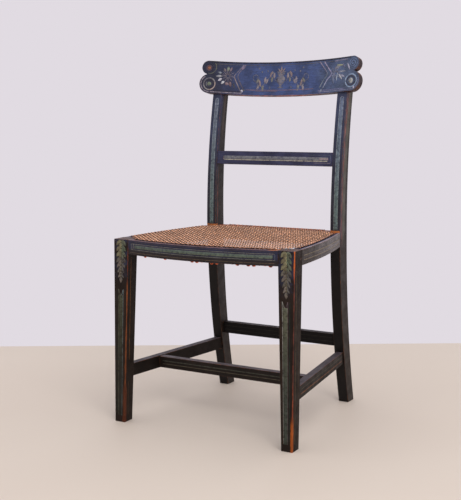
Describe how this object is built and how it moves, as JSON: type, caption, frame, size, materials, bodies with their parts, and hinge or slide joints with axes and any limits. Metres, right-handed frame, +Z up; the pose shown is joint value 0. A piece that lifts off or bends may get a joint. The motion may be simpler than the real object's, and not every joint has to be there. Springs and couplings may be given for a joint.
{
  "type": "painted side chair",
  "caption": "Armless chair with a curved scroll-ended crest rail, open back with one stay rail, bowed caned seat, tapered legs and box stretchers.",
  "frame": {"origin": "on the floor, under the middle of the chair's bounding box", "axes": "+Z up, -Y the way the sitter faces, +X to the right of someone who looks at the front along +Y"},
  "size_m": [0.474, 0.459, 0.8639],
  "materials": {
    "painted_frame": "old black-brown and blue-black paint with grey-green striping, worn at the arrises",
    "painted_crest": "old blue paint with stencilled ornament under aged varnish",
    "pin_wood": "painted over pin ends",
    "cane": "woven split cane, aged"
  },
  "bodies": {
    "root": {"front_leg_right": "painted_frame", "front_leg_left": "painted_frame", "rear_post_right": "painted_frame", "rear_post_left": "painted_frame", "crest_rail": "painted_crest", "stay_rail": "painted_frame", "front_rail": "painted_frame", "rear_rail": "painted_frame", "side_rail_right": "painted_frame", "side_rail_left": "painted_frame", "side_stretcher_right": "painted_frame", "side_stretcher_left": "painted_frame", "cross_stretcher": "painted_frame", "rear_stretcher": "painted_frame", "seat_rail_pins": "pin_wood", "stay_rail_pins": "pin_wood", "crest_pins": "pin_wood", "cane_panel": "cane", "cane_binder_front": "cane", "cane_binder_rear": "cane", "cane_binder_right": "cane", "cane_binder_left": "cane", "cane_loops_front": "cane", "cane_loops_rear": "cane", "cane_loops_right": "cane", "cane_loops_left": "cane", "cane_pegs": "pin_wood"}
  },
  "joints": []
}
